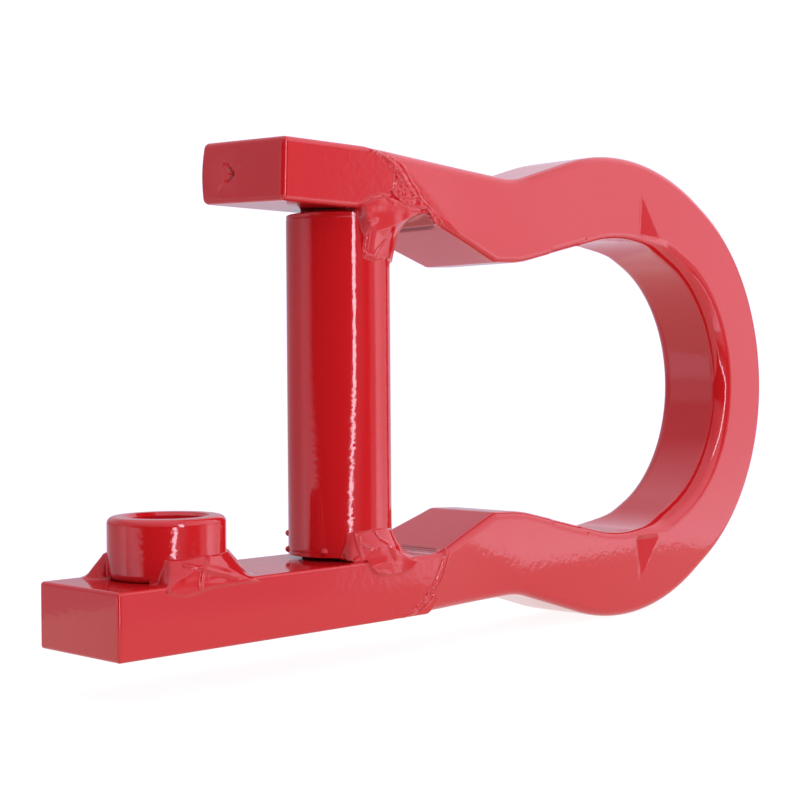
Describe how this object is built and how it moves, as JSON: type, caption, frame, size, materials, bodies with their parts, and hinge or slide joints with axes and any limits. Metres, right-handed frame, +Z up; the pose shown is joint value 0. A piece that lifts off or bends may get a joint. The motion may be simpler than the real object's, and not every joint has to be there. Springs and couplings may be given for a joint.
{
  "type": "welded dee shackle",
  "caption": "Red-painted steel loop shackle: a waisted bow welded to flat-bar legs, with a round cross rod between them and a bored boss on the longer leg.",
  "frame": {"origin": "on the cross rod's axis, midway through the depth of the bars and level with the middle of the bow", "axes": "+X along the legs towards the crown of the bow, +Y through the depth of the bars, +Z up along the cross rod, the longer leg with the boss lowest"},
  "size_m": [0.2548, 0.0314, 0.1337],
  "materials": {
    "painted_steel": "glossy red powder coat with light orange peel over flat and round bar",
    "painted_weld": "the same glossy red powder coat over rippled, lumpy weld metal"
  },
  "bodies": {
    "root": {"bow": "painted_steel", "upper_leg": "painted_steel", "lower_leg": "painted_steel", "cross_rod": "painted_steel", "boss": "painted_steel", "upper_seam_weld": "painted_weld", "lower_seam_weld": "painted_weld", "upper_rod_weld": "painted_weld", "lower_rod_weld": "painted_weld", "boss_front_weld": "painted_weld", "boss_back_weld": "painted_weld"}
  },
  "joints": []
}
